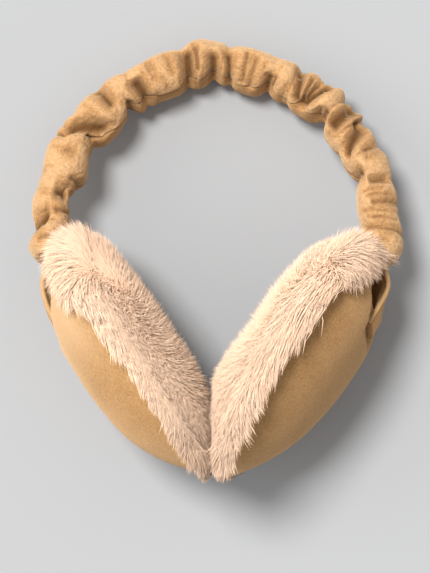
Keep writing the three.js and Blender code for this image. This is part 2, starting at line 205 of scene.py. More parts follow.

# %% The nap of the suede and its painted light, as a node group, with how many patches and grains there are to a metre
PATCHES, PUCKERS, MOTTLE, GRAIN = 90, 170, 900, 1700
PUCKER_HEIGHT = 7
# The near-black colour of the painted shade down in creases and hollows
PAINTED_CREASE_SHADE = (0.02, 0.008, 0.002, 1)

nap, nap_in, nap_out = group_of(
    "suede nap with painted light",
    {"Colour": "Color", "Deep Colour": "Color", "Rubbed Colour": "Color",
     "Crease": "Float", "Rim": "Float", "Wrinkles": "Float"},
    {"Colour": "Color", "Roughness": "Float", "Height": "Float"},
)
place = node(nap, "ShaderNodeTexCoord").outputs["Object"]
patches = noise(nap, place, PATCHES, 3)
mottle = noise(nap, place, MOTTLE, 3, 0.65)
grain = noise(nap, place, GRAIN, 2, 0.7)
nap_lies = math_node(nap, "ADD", scaled(nap, patches, 0.25), scaled(nap, mottle, 0.75))
shade = spread(nap, nap_lies, 0.38, 0.62)
fleck = spread(nap, grain, 0.3, 0.7)
main, deep, highlight_tint = (nap_in.outputs[name] for name in ("Colour", "Deep Colour", "Rubbed Colour"))
mottled = blend(nap, scaled(nap, shade, 0.85, 0.05), deep, main)
flecked = blend(nap, scaled(nap, fleck, 0.8), mottled, main)
# Painted highlight: where the Rim mask says, the colour turns towards the pale highlight colour.
pale = math_node(nap, "MULTIPLY", nap_in.outputs["Rim"], 0.8, clamp=True)
rimmed = blend(nap, pale, flecked, highlight_tint)
# Painted shade: where the Crease mask says, the colour darkens towards the near-black painted crease shade.
creased = blend(nap, nap_in.outputs["Crease"], rimmed, blend(nap, 0.6, deep, PAINTED_CREASE_SHADE))
nap.links.new(creased, nap_out.inputs["Colour"])
nap.links.new(scaled(nap, fleck, 0.12, 0.82), nap_out.inputs["Roughness"])
raised = math_node(nap, "ADD", scaled(nap, mottle, 0.5), scaled(nap, grain, 0.4))
puckers = math_node(nap, "ABSOLUTE", math_node(nap, "SUBTRACT", noise(nap, place, PUCKERS, 2, 0.5), 0.5))
puckers = math_node(nap, "MULTIPLY", scaled(nap, puckers, PUCKER_HEIGHT), nap_in.outputs["Wrinkles"])
nap.links.new(math_node(nap, "ADD", raised, puckers), nap_out.inputs["Height"])
print("node group:", nap.name, len(nap.nodes), "nodes")

# %% Suede for the band and for the pads


def suede(name, main, deep, highlight_tint, bump, wrinkles):
    """A suede in three screen colours, with the height of its grain in metres and the share of puckers."""
    main, deep, highlight_tint = colour(*main), colour(*deep), colour(*highlight_tint)
    made = bpy.data.materials.new(name + " suede")
    made.use_nodes = True
    tree = made.node_tree
    shader = tree.nodes["Principled BSDF"]
    set_on(shader, Sheen_Weight=0.6, Sheen_Roughness=0.5, Sheen_Tint=highlight_tint, Specular_IOR_Level=0.1)
    texture = node(tree, "ShaderNodeGroup")
    texture.node_tree = nap
    set_on(texture, Colour=main, Deep_Colour=deep, Rubbed_Colour=highlight_tint, Wrinkles=wrinkles)
    # Each piece's crease mask says where painted shade goes, and its rim mask where a painted highlight goes.
    for mask in ("crease", "rim"):
        read = node(tree, "ShaderNodeAttribute", attribute_name=mask)
        tree.links.new(read.outputs["Fac"], texture.inputs[mask.capitalize()])
    raised = node(tree, "ShaderNodeBump", Strength=0.9, Distance=bump)
    tree.links.new(texture.outputs["Height"], raised.inputs["Height"])
    tree.links.new(texture.outputs["Colour"], shader.inputs["Base Color"])
    tree.links.new(texture.outputs["Roughness"], shader.inputs["Roughness"])
    tree.links.new(raised.outputs["Normal"], shader.inputs["Normal"])
    return made


# Each suede: its own colour, a deeper one for the mottle and the painted crease shade, and a pale one for the
# painted highlight and the sheen.
band_suede = suede("band", (193, 149, 102), (134, 90, 47), (232, 200, 160), 0.4 * MM, 1.0)
strip_suede = suede("strip", (184, 140, 92), (130, 88, 48), (216, 180, 136), 0.3 * MM, 0.6)
pad_suede = suede("pad", (178, 138, 92), (134, 92, 46), (222, 186, 146), 0.4 * MM, 0.1)
strap_suede = suede("strap", (180, 136, 88), (128, 86, 46), (214, 178, 134), 0.3 * MM, 0.2)
print("suedes:", [m.name for m in bpy.data.materials if "suede" in m.name])

# %% [markdown]
# ## The gathered sleeve of the headband
#
# The band is a tube of suede that was cut much longer than the ring it covers and then gathered on a narrower
# strip along its inside. The spare length stands up in puffs with creases between them. Cloth simulation could
# gather it, but it would put the creases where it likes, and the photograph shows where they are. So the tube
# is a grid wrapped round the ring, and two tables move its points: one gives the puffs and one the creases.

# %% The ring
RING_RADIUS = 69.4 * MM
RING_RISE = 1.045
RIGHT_END, LEFT_END = -13.0, 192.0
END_FLARE, FLARE_LENGTH = 4.4 * MM, 20 * MM
GATHER_LENGTH = 5 * MM


def eased(share):
    """A share from 0 to 1 that starts and ends gently."""
    share = np.clip(share, 0, 1)
    return share * share * (3 - 2 * share)


def from_end(degrees):
    """How far along the ring the nearer end of the sleeve is."""
    return np.radians(np.minimum(degrees - RIGHT_END, LEFT_END - degrees)) * RING_RADIUS


def ring_at(degrees):
    """Points of the ring's middle line and the way out of the ring there, for an array of angles."""
    turn = np.radians(degrees)
    radius = RING_RADIUS + END_FLARE * (1 - eased(from_end(degrees) / FLARE_LENGTH))
    flat = np.zeros_like(turn)
    point = np.stack((radius * np.cos(turn), radius * RING_RISE * np.sin(turn), flat), -1)
    out = np.stack((RING_RISE * np.cos(turn), np.sin(turn), flat), -1)
    return point, unit(out)


print("the ring is", round(2000 * RING_RADIUS), "mm across")

# %% The puffs: where each is on the ring in degrees, and how far out, in and wide it stands
PUFFS = np.array([
    (-13, 0.85, 0.75, 0.85), (-9, 1.05, 0.85, 1.05), (-3, 1.22, 0.76, 1), (1, 1.18, 0.74, 0.96),
    (6, 1.25, 0.78, 1.02), (13, 1.08, 0.66, 0.92), (16, 1.2, 0.6, 0.98), (20, 1.26, 0.74, 1.06),
    (25, 1.08, 0.88, 1), (29, 1.1, 0.8, 0.92), (33, 0.95, 0.97, 0.86), (37, 1.3, 0.97, 1.06),
    (42, 0.8, 0.48, 0.84), (46, 1.26, 0.72, 1.06), (51, 0.88, 1.05, 0.88), (55, 1.03, 1.08, 1.04),
    (59, 0.79, 0.9, 0.86), (63, 0.95, 1, 1.02), (68, 0.86, 0.95, 0.9), (75, 0.9, 1.24, 1.05),
    (80, 0.95, 1.18, 1), (85, 0.86, 1, 0.88), (90, 1.12, 0.9, 0.98), (95, 1.26, 0.98, 1.08),
    (101, 0.83, 1.25, 0.86), (107, 0.91, 1.23, 1.06), (115, 0.8, 1.24, 1.05), (121, 0.79, 1.48, 0.88),
    (127, 0.95, 0.79, 0.96), (132, 0.95, 1.2, 0.98), (138, 1.02, 1.34, 1.08), (143, 0.92, 1.28, 0.92),
    (147, 1.1, 0.75, 0.86), (153, 1.22, 0.86, 1.02), (162, 1.06, 1.18, 1.1), (169, 1.02, 0.56, 0.88),
    (174, 1.17, 0.6, 1.04), (180, 1.02, 0.8, 0.86), (187, 0.96, 0.85, 1.06), (192, 0.85, 0.75, 0.85),
])
TWISTS = np.array([(-13, 24), (28, 22), (46, 0), (150, 0), (166, 22), (192, 24)])


def between(rows, column, degrees):
    """A column of a table read between its rows: round at each crest and sharp in each dip."""
    after = np.clip(np.searchsorted(rows[:, 0], degrees, side="right"), 1, len(rows) - 1)
    low, high = rows[after - 1], rows[after]
    way = np.pi / 2 * np.clip((degrees - low[..., 0]) / (high[..., 0] - low[..., 0]), 0, 1)
    rises = high[..., column] > low[..., column]
    share = np.where(rises, np.sin(way), 1 - np.cos(way))
    return low[..., column] + share * (high[..., column] - low[..., column])


print(len(PUFFS), "puffs and dips")

# %% The creases: where each is at the outer and the inner edge in degrees, the share of the way across where
# it starts and ends, how deep and how wide it is in mm, and how far one side folds over the other in mm
CREASES = np.array([
    (182.7, 175.6, 0, 0.42, 3, 2.6, 1), (171.5, 171.5, 0.45, 0.9, 3.2, 2.6, 0.6),
    (156, 156, 0.35, 0.6, 0.9, 2.5, 0), (151.6, 146, 0, 0.25, 1.8, 1.8, 0),
    (148.8, 139.5, 0.1, 0.85, 3.4, 2.4, 1.6), (146, 146, 0.6, 0.9, 2.6, 2.2, 0),
    (132.5, 133.6, 0.02, 0.55, 1.9, 2.4, 0.5), (126, 126, 0.75, 1.05, 1.6, 2.4, 0),
    (120.6, 119.6, 0.35, 1, 3.3, 2.6, 1), (113, 113.5, 0.1, 0.6, 0.6, 2, 0),
    (107, 106, 0.1, 0.55, 0.6, 2, 0), (99.2, 100.8, 0.1, 1, 3.2, 2.1, 1),
    (97, 96.8, 0.05, 0.62, 1.7, 0.9, 0.6), (90.6, 90.4, 0.25, 1, 3, 2.2, 0.6),
    (85.6, 83.4, 0.2, 1, 2.2, 1.6, 0.3), (78.5, 78, 0.15, 0.8, 1.2, 1.4, 0),
    (75, 75.2, 0.2, 0.9, 1.2, 1.8, 0), (68.6, 68.4, 0.45, 1, 2.4, 1.8, 0.4),
    (66.4, 66.6, 0.45, 0.9, 1.6, 1.2, 0), (59.4, 53.6, 0.02, 0.8, 2.6, 1.6, 0.8),
    (54.8, 52, 0.08, 0.85, 1.8, 1, 0.3), (51.6, 52.2, 0.08, 0.85, 1.8, 1, 0.3),
    (48.6, 53.2, 0.02, 0.9, 2.6, 1.4, 0.6), (45.2, 44.8, 0.6, 0.95, 1.8, 0.9, 0.3),
    (42.8, 43.2, 0.5, 1, 2.2, 1.3, 0.3), (38.4, 37.4, 0, 0.75, 3.5, 2, 1.6),
    (34.4, 33, 0, 0.2, 2.2, 1.8, 0), (32.4, 24.6, 0.05, 0.85, 3.2, 1.9, 1.4),
    (24, 23, 0, 0.4, 1.3, 2.4, 0), (17, 16.4, 0.6, 1, 2.4, 2, 0.3),
    (12.4, 12.6, 0.08, 0.5, 1.6, 1.2, 0.6), (9.4, 9.2, 0.25, 0.8, 0.7, 0.7, 0),
    (7.2, 7.4, 0.1, 0.7, 0.8, 0.8, 0), (5, 4.8, 0, 0.55, 1.2, 1.8, 0.3),
    (1.8, 2.2, 0.2, 0.9, 0.7, 0.7, 0), (-0.6, -0.2, 0.1, 0.8, 0.8, 0.8, 0),
    (-4.4, -4.2, 0, 0.9, 1.2, 1.2, 0), (187.5, 186.5, 0.3, 1, 1.2, 1.4, 0),
    (178, 177.6, 0.5, 1, 1, 1.2, 0), (164.5, 165.5, 0.7, 1.1, 1.2, 1.6, 0),
])
LEAN_SEEN = 21.4
CREASE_DEPTH = 1.7
CREASE_FADE, CREASE_SHARPNESS = 0.12, 1.25
# The painted shade on a crease's floor: the depth in mm where it is darkest, and its share of the width and its
# sharpness
DARK_DEPTH, DARK_WIDTH, DARK_SHARPNESS = 2.4, 0.55, 1.5
DEEPEST_SHARE = 0.45
SLEEVE_THICKNESS, SLEEVE_WIDTH = 18 * MM, 25 * MM
GATHERED = (3.0 * MM, 10.6 * MM)
GATHERED_ROUND, OUTER_ROUND, INNER_ROUND = 0.4, 0.9, 0.82


def crossed(creases, degrees, across):
    """How deep the creases make each point, how far they fold it along the band, and the painted shade on their
    floors.
    """
    deep, over, floor = (np.zeros_like(degrees) for _ in range(3))
    for outer_at, inner_at, start, end, depth, width, lap in creases:
        along = np.radians(degrees - (outer_at + across * (inner_at - outer_at))) * RING_RADIUS / MM
        here = eased((across - start) / CREASE_FADE + 0.5) * eased((end - across) / CREASE_FADE + 0.5)
        pinch = here * np.exp(-(np.abs(along) / width) ** CREASE_SHARPNESS)
        deep += CREASE_DEPTH * depth * MM * pinch
        over += lap * MM * here * along / width * np.exp(0.5 - 0.5 * (along / width) ** 2)
        dark = np.exp(-(np.abs(along) / (DARK_WIDTH * width)) ** DARK_SHARPNESS)
        floor = np.maximum(floor, here * min(1, depth / DARK_DEPTH) * dark)
    return deep, over, floor


def fine_gathers(seed, count):
    """Small creases all over, as every gathered cloth has, at seeded places."""
    dice = np.random.default_rng(seed)
    at = np.linspace(RIGHT_END + 3, LEFT_END - 3, count) + dice.uniform(-1.4, 1.4, count)
    start = dice.uniform(-0.1, 0.6, count)
    columns = (at, at + dice.uniform(-3, 3, count), start, start + dice.uniform(0.2, 0.6, count),
               dice.uniform(0.15, 0.6, count), dice.uniform(0.6, 1.6, count), np.zeros(count))
    return np.stack(columns, -1)


ALL_CREASES = np.concatenate((CREASES, fine_gathers(5, 60)))
print(len(CREASES), "creases and", len(ALL_CREASES) - len(CREASES), "fine gathers")

# %% A point of the sleeve
ABOVE_TABLE = 0.3 * MM


def sleeve_points(degrees, around, inset):
    """Points of the sleeve upright, from the angle round the ring and round the section, both in degrees."""
    around = around + between(TWISTS, 1, degrees)
    seen = np.radians(around - LEAN_SEEN * np.sin(np.radians(degrees)))
    across = (1 - np.cos(seen)) / 2
    deep, over, floor = crossed(ALL_CREASES, degrees, across)
    turn = np.radians(around)
    cosine, sine = np.cos(turn), np.sin(turn)
    opened = np.sqrt(np.clip(from_end(degrees) / GATHER_LENGTH, 0, 1))
    full = SLEEVE_THICKNESS / 2 * np.where(cosine > 0, between(PUFFS, 1, degrees), between(PUFFS, 2, degrees))
    wide = SLEEVE_WIDTH / 2 * between(PUFFS, 3, degrees)
    out = GATHERED[0] + opened * (full - GATHERED[0])
    width = GATHERED[1] + opened * (wide - GATHERED[1])
    soft = GATHERED_ROUND + opened * (np.where(cosine > 0, OUTER_ROUND, INNER_ROUND) - GATHERED_ROUND)
    section = np.stack((out * np.sign(cosine) * np.abs(cosine) ** soft,
                        width * np.sign(sine) * np.abs(sine) ** soft), -1)
    size = np.linalg.norm(section, axis=-1, keepdims=True)
    pulled_in = np.minimum(deep * opened, DEEPEST_SHARE * size[..., 0]) + inset
    section = section * (1 - pulled_in[..., None] / size)
    middle, outward = ring_at(degrees + np.degrees(over * opened / RING_RADIUS))
    points = middle + outward * section[..., :1] + np.array((0, 0, 1.0)) * section[..., 1:]
    return points, floor * opened, deep


def on_table(points):
    """Points that are pressed flat where they would sink into the table."""
    points[..., 2] = np.maximum(points[..., 2], ABOVE_TABLE)
    return points


print("the sleeve is", round(math.radians(LEFT_END - RIGHT_END) * RING_RADIUS / MM), "mm along its middle line")

# %% Helpers that turn points into a piece
CLOTH = 1.2 * MM


def sheet_mesh(along, across):
    """A flat grid whose corners give u and v from 0 to 1, as a bmesh with a UV map."""
    made = bmesh.new()
    layer = made.loops.layers.uv.new("UVMap")
    bmesh.ops.create_grid(made, x_segments=along, y_segments=across, size=0.5, calc_uvs=False)
    bmesh.ops.translate(made, verts=made.verts, vec=(0.5, 0.5, 0))
    for face in made.faces:
        for loop in face.loops:
            loop[layer].uv = loop.vert.co.xy
    return made


def corners_of(made):
    """The vertices of a bmesh as rows of an array."""
    return np.array([v.co for v in made.verts])


def put(made, points):
    """The vertices of a bmesh move to some points, in the same order."""
    for vertex, point in zip(made.verts, points):
        vertex.co = point


def as_piece(name, mesh, material, masks):
    """The mesh as an object of that name and material, with its masks as attributes."""
    for mask, values in masks.items():
        mesh.attributes.new(mask, "FLOAT", "POINT").data.foreach_set("value", values.astype(np.float32))
    mesh.shade_smooth()
    mesh.materials.append(material)
    piece = bpy.data.objects.new(name, mesh)
    bpy.context.collection.objects.link(piece)
    return piece


def finished(made, name, material, masks):
    """The bmesh as a piece, with its faces pointing outwards."""
    bmesh.ops.recalc_face_normals(made, faces=made.faces)
    mesh = bpy.data.meshes.new(name)
    made.to_mesh(mesh)
    made.free()
    return as_piece(name, mesh, material, masks)


def thickened(piece, thickness):
    """The piece with the thickness of its cloth, on the side away from where it is seen."""
    solid = piece.modifiers.new("cloth", "SOLIDIFY")
    solid.thickness = thickness
    solid.offset = -1
    return piece


print("suede is", round(CLOTH / MM, 1), "mm thick")

# %% The sleeve's cloth, with its seam and hems, the angles round the section in degrees
SLEEVE_STEPS, SLEEVE_SIDES = 480, 64
SEAM = 148.0
SCALLOP_OUT, SCALLOP_BACK, SCALLOP_SPREAD = 20, 16, 3
PINCHED_AT, FULL_PINCH = 0.85, 2.2 * MM
HEM, HEM_TURN = 0.955, 0.9 * MM
# Where the painted highlight line along each hem runs, as a share round the section, and how wide it is
HEM_RIM, HEM_RIM_WIDTH = 0.965, 0.03


def wavy_seam(degrees):
    """Where the sleeve's edge is round the section: drawn back at each pinch, so that it is scalloped."""
    near = degrees[:, None] + np.linspace(-SCALLOP_SPREAD, SCALLOP_SPREAD, 7)
    deep = np.mean(crossed(CREASES, near, np.full_like(near, PINCHED_AT))[0], axis=1)
    return SEAM + SCALLOP_OUT - SCALLOP_BACK * np.clip(deep / FULL_PINCH, 0, 1)


def dressed_sleeve():
    """The sleeve: a grid wrapped round the ring, open on its inner side, with a hem along each edge."""
    made = sheet_mesh(SLEEVE_STEPS, SLEEVE_SIDES)
    uv = corners_of(made)
    degrees = RIGHT_END + uv[:, 0] * (LEFT_END - RIGHT_END)
    seam = wavy_seam(degrees)
    share = 2 * uv[:, 1] - 1
    around = share * np.where(share > 0, seam, SEAM)
    edge = np.clip((np.abs(share) - HEM) / (1 - HEM), 0, 1)
    points, floor, deep = sleeve_points(degrees, around, HEM_TURN * edge ** 2)
    put(made, on_table(moved(LAID, points)))
    # Painted highlight: a pale line along each hem, and over the crests of the puffs where nothing is creased.
    # Painted shade: down in the crease floors, in deep folds and at the turned hems.
    rim = np.clip(1 - np.abs(np.abs(share) - HEM_RIM) / HEM_RIM_WIDTH, 0, 1) * 0.5
    rim = np.maximum(rim, 0.22 * np.clip(1 - deep / (0.5 * MM), 0, 1))
    crease = np.clip(floor * 0.9 + 0.35 * np.clip(deep / (4 * MM), 0, 1) + 0.7 * edge ** 4, 0, 1)
    return thickened(finished(made, "headband_sleeve", band_suede, {"crease": crease, "rim": rim}), CLOTH)


sleeve = dressed_sleeve()
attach(sleeve, "root")
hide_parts("headband_cover")
print("sleeve:", len(sleeve.data.polygons), "faces")

# %% [markdown]
# ## The strip inside the band
#
# A narrower strip of the same suede closes the tube on the side that lies on the head. It isn't gathered, so it
# is shorter and smoother than the sleeve, and it shows as a scalloped sliver along the inner edge. It could be
# cut out of the sleeve's own mesh, but as a grid of its own, wrapped between the sleeve's two edges and tucked
# a little under each of them, it keeps its own thickness and colour.

# %% The inner strip
STRIP_STEPS, STRIP_SIDES = 360, 18
STRIP_TUCK, STRIP_INSIDE_END = 9.0, 1.2
STRIP_INSET, STRIP_UNDER_HEM = 0.5, 2.2
STRIP_CLOTH = 0.9 * MM


def dressed_strip():
    """The strip: the same kind of grid between the sleeve's two hems, with its edges under them."""
    made = sheet_mesh(STRIP_STEPS, STRIP_SIDES)
    uv = corners_of(made)
    degrees = RIGHT_END + STRIP_INSIDE_END + uv[:, 0] * (LEFT_END - RIGHT_END - 2 * STRIP_INSIDE_END)
    start = wavy_seam(degrees) - STRIP_TUCK
    end = 360 - SEAM + STRIP_TUCK
    around = start + uv[:, 1] * (end - start)
    tucked = np.clip(1 - np.minimum(uv[:, 1], 1 - uv[:, 1]) * (end - start) / (STRIP_TUCK + 3), 0, 1)
    points, floor, _ = sleeve_points(degrees, around, (STRIP_INSET + STRIP_UNDER_HEM * eased(tucked)) * MM)
    put(made, on_table(moved(LAID, points)))
    # Painted shade where the strip is tucked under the hems and down in the creases; no painted highlight.
    masks = {"crease": np.clip(eased(tucked) * 0.8 + floor * 0.5, 0, 1), "rim": np.zeros(len(uv))}
    return thickened(finished(made, "headband_strip", strip_suede, masks), STRIP_CLOTH)


strip = dressed_strip()
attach(strip, "root")
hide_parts("headband_inner_strip")
print("strip:", len(strip.data.polygons), "faces")

# %% [markdown]
# ## The shells of the ear pads
#
# The back of each pad is one smooth piece of suede over stuffing: deepest a little above its middle, with a
# pocket near the crown end that the headband's strap end is sewn into. A sphere could be squashed to the shape,
# but the rim has to be an exact oval, so a square grid is eased onto a disc and then pushed out to its depth.

# %% The shell's shape
PAD_LENGTH, PAD_WIDTH = 110 * MM, 92 * MM
SHELL_DEPTH, SHELL_FULLNESS, DEEPEST_AT = 23.6 * MM, 2.9, 0.21
SHELL_GRID = 76
POCKET_WIDTH, POCKET_MOUTH, POCKET_HOLLOW, HOLLOW_DEPTH = 20 * MM, 0.5, 0.68, 6.5 * MM
POCKET_STEP, POCKET_FADE = 0.12, 0.6
STRAP_THICKNESS, SEWN_GAP = 3.6 * MM, 0.3 * MM
ALONG_PAD = (-0.9, -0.4, 0.0, 0.35, 0.6, 1.0)
STUFFED = {1: (1, 0.92, 0.93, 0.98, 1, 1), -1: (1.15, 0.99, 0.97, 0.99, 1, 1)}


def on_disc(flat):
    """Corners of the unit square eased onto a round disc of radius 1."""
    a, b = 2 * flat[..., 0] - 1, 2 * flat[..., 1] - 1
    return np.stack((a * np.sqrt(1 - b * b / 2), b * np.sqrt(1 - a * a / 2)), -1)


def shell_points(disc):
    """Points of the pad's back in the pad's own frame, and where its pocket is."""
    out = np.minimum(1, np.linalg.norm(disc, axis=-1))
    up = disc[..., 0] + DEEPEST_AT * (1 - out * out)
    x = PAD_LENGTH / 2 * up
    y = PAD_WIDTH / 2 * disc[..., 1]
    seat = eased((up - POCKET_MOUTH + POCKET_STEP) / POCKET_STEP)
    hollow = eased((up - POCKET_MOUTH) / (POCKET_HOLLOW - POCKET_MOUTH))
    aside = np.abs(PAD_WIDTH * disc[..., 1])
    inside = 1 - eased((aside - POCKET_WIDTH) / (POCKET_FADE * POCKET_WIDTH))
    pocket = ((STRAP_THICKNESS + SEWN_GAP) * seat + HOLLOW_DEPTH * hollow) * inside * (1 - out ** 6)
    depth = SHELL_DEPTH * (1 - out ** SHELL_FULLNESS) - pocket
    return np.stack((x, y, -np.maximum(0, depth)), -1), seat * inside


def dressed_shell(ear, side):
    """One shell: painted shade in its pocket and on the right one, painted highlight at its rim and on the left
    one.
    """
    made = sheet_mesh(SHELL_GRID, SHELL_GRID)
    disc = on_disc(corners_of(made))
    points, pocket = shell_points(disc)
    points[:, 2] *= np.interp(disc[:, 0], ALONG_PAD, STUFFED[side])
    out = np.linalg.norm(disc, axis=1)
    put(made, on_table(moved(pad_frame(side), points)))
    # Painted light on the shells: the left shell, which faces the lamps, is paled towards the highlight colour
    # over its crown half, and the right shell, which faces away, gets painted shade, least at its crown end and
    # rim. The pocket gets painted shade and the rim a painted highlight.
    painted_lit_side = eased(0.5 - side) * eased((disc[:, 0] + 0.3) / 0.7) * eased((1 - out) / 0.3)
    rim = np.clip((out - 0.93) / 0.05, 0, 1) * 0.5 + 0.6 * painted_lit_side
    painted_shaded_side = 0.18 * eased(0.5 + side) * eased((0.9 - disc[:, 0]) / 1.2) * (1 - 0.6 * out ** 4)
    masks = {"crease": np.clip(pocket * 0.3 + painted_shaded_side, 0, 1), "rim": np.clip(rim, 0, 1)}
    return thickened(finished(made, f"shell_{ear}", pad_suede, masks), CLOTH)


for ear, side in PADS.items():
    shell = dressed_shell(ear, side)
    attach(shell, "root")
    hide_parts(f"pad_shell_{ear}")
    print(shell.name, len(shell.data.polygons), "faces")

# %% [markdown]
# ## The strap ends
#
# Between the sleeve and each pad runs a short flat tab of suede, doubled and stitched along both edges. It
# comes out of the gathered end of the sleeve and goes into the pocket on the back of the pad. It follows a
# smooth curve through four places. A curve object could sweep it, but it has to turn on its way, so a thin
# block with many cuts is laid along the curve instead, with a groove on both faces for each row of stitches.

# %% The strap's curve and its block
STRAP_WIDTH, STRAP_EDGE, STRAP_TUCK = 18 * MM, 0.4, 7 * MM
STRAP_SEAT = 0.34
STRAP_BOW = {1: (1.085, -0.447), -1: (-1.066, -0.447)}
STRAP_TURN = {1: math.radians(25), -1: math.radians(14)}
STITCHES, STITCH_DEPTH = 0.8, 0.35 * MM


def curve_through(points, share):
    """A centripetal Catmull-Rom curve through some points, at shares of its length, with its directions."""
    p = [2 * points[0] - points[1], *points, 2 * points[-1] - points[-2]]
    line = []
    for a, b, c, d in zip(p, p[1:], p[2:], p[3:]):
        k = np.cumsum([0, *(max(np.linalg.norm(v), 1e-6) ** 0.5 for v in (b - a, c - b, d - c))])
        for t in np.linspace(k[1], k[2], 60, endpoint=False):
            ab = a + (b - a) * (t - k[0]) / (k[1] - k[0])
            bc = b + (c - b) * (t - k[1]) / (k[2] - k[1])
            cd = c + (d - c) * (t - k[2]) / (k[3] - k[2])
            abc = ab + (bc - ab) * (t - k[0]) / (k[2] - k[0])
            bcd = bc + (cd - bc) * (t - k[1]) / (k[3] - k[1])
            line.append(abc + (bcd - abc) * (t - k[1]) / (k[2] - k[1]))
    line = np.array([*line, p[-2]])
    run = np.concatenate(([0], np.cumsum(np.linalg.norm(np.diff(line, axis=0), axis=1))))

    def on_line(far):
        return np.stack([np.interp(far, run, line[:, i]) for i in range(3)], -1)

    far = share * run[-1]
    way = on_line(far + 0.4 * MM) - on_line(far - 0.4 * MM)
    return on_line(far), unit(way)


def block_with_cuts():
    """A block whose corners give length, width and thickness from 0 to 1."""
    made = bmesh.new()
    made.loops.layers.uv.new("UVMap")
    bmesh.ops.create_cube(made, size=1)
    bmesh.ops.translate(made, verts=made.verts, vec=(0.5, 0.5, 0.5))
    for axis, cuts in ((0, 80), (1, 22)):
        edges = [e for e in made.edges if abs((e.verts[0].co - e.verts[1].co)[axis]) > 0.5]
        bmesh.ops.subdivide_edges(made, edges=edges, cuts=cuts, use_grid_fill=True)
    return made


# %% The strap ends


def dressed_strap(ear, side):
    """One strap end, from inside the sleeve through its mouth and a bow to its seat in the pocket."""
    end = RIGHT_END if side > 0 else LEFT_END
    tucked = end + side * math.degrees(STRAP_TUCK / RING_RADIUS)
    seat, _ = shell_points(np.array([[STRAP_SEAT, 0.0]]))
    seat = seat - np.array((0, 0, STRAP_THICKNESS / 2 + SEWN_GAP))
    seat = moved(LAID.inverted() @ pad_frame(side), seat)[0]
    bow = RING_RADIUS * np.array((*STRAP_BOW[side], 0))
    start, mouth = (ring_at(np.array([a]))[0][0] for a in (tucked, end))
    made = block_with_cuts()
    uvw = corners_of(made)
    at, way = curve_through([start, mouth, bow, seat], uvw[:, 0])
    pad_up = np.array((LAID.inverted() @ pad_frame(side)).to_3x3() @ Vector((0, -side, 0)))
    turned = eased((uvw[:, :1] - 0.3) / 0.5)
    up = (1 - turned) * np.array((0, 0, 1.0)) + turned * pad_up
    through = unit(np.cross(way, up))
    across = np.cross(through, way)
    outward = np.sign(through @ np.array((side, -0.3, 0)))[:, None]
    turn = STRAP_TURN[side] * np.sin(np.pi * np.clip((uvw[:, :1] - 0.15) / 0.65, 0, 1))
    at = at - outward * through * np.sin(turn) * STRAP_WIDTH / 2
    across, through = (across * np.cos(turn) + outward * through * np.sin(turn),
                       through * np.cos(turn) - outward * across * np.sin(turn))
    v = 2 * uvw[:, 1] - 1
    groove = STITCH_DEPTH * np.exp(-((np.abs(v) - STITCHES) / 0.035) ** 2)
    half = STRAP_THICKNESS / 2 * (STRAP_EDGE + (1 - STRAP_EDGE) * (1 - v ** 4)) - groove
    points = at + through * ((2 * uvw[:, 2] - 1) * half)[:, None] + across * (v * STRAP_WIDTH / 2)[:, None]
    put(made, moved(LAID, points))
    stitched = np.exp(-((np.abs(v) - STITCHES) / 0.05) ** 2)
    # Darker lines along the stitches, and a painted highlight along both edges.
    masks = {"crease": 0.7 * stitched, "rim": np.clip((np.abs(v) - 0.93) / 0.05, 0, 1) * 0.5}
    return finished(made, f"strap_{ear}", strap_suede, masks)


for ear, side in PADS.items():
    strap = dressed_strap(ear, side)
    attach(strap, "root")
    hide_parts(f"strap_end_{ear}")
print("strap ends made")

# %% [markdown]
# ## Fur
#
# The fur is the face of each pad. Real fur is thousands of hairs that grow out of a backing, lean over together
# and gather into locks. Blender has hair curves, but the exported model needs a mesh, so each hair here is a
# thin closed spike. Under the hairs lies a plump body of the same colour, so that no gap shows the table. The
# body is a dome that rolls back over the rim of the shell. Short tables say how high it stands and how far it
# rolls from the lower tip of the pad to its crown end, because the two pads were read off the photograph.

# %% The material of the fur


def fur_material():
    """Fur whose colour changes along each hair, from hair to hair, in patches, and towards grey at the lower
    tip.
    """
    made = bpy.data.materials.new("fur")
    made.use_nodes = True
    tree = made.node_tree
    shader = tree.nodes["Principled BSDF"]
    set_on(shader, Roughness=0.9, Specular_IOR_Level=0.05, Sheen_Weight=0.2, Sheen_Tint=colour(255, 232, 205))
    along, own, grey = (node(tree, "ShaderNodeAttribute", attribute_name=mask).outputs["Fac"]
                        for mask in ("along", "own", "grey"))
    place = node(tree, "ShaderNodeTexCoord").outputs["Object"]
    patch = spread(tree, noise(tree, place, 60, 2), 0.35, 0.65)
    tip = blend(tree, patch, colour(236, 204, 178), colour(231, 196, 168))
    base = blend(tree, along, colour(240, 204, 173), tip)
    varied = blend(tree, scaled(tree, own, 0.2), base, colour(242, 204, 168))
    # Hairs turn greyer towards the lower tip of each pad, as much as the grey mask says.
    tangled = blend(tree, grey, varied, colour(196, 168, 144))
    tree.links.new(tangled, shader.inputs["Base Color"])
    return made


fur = fur_material()
print("fur material:", len(fur.node_tree.nodes), "nodes")

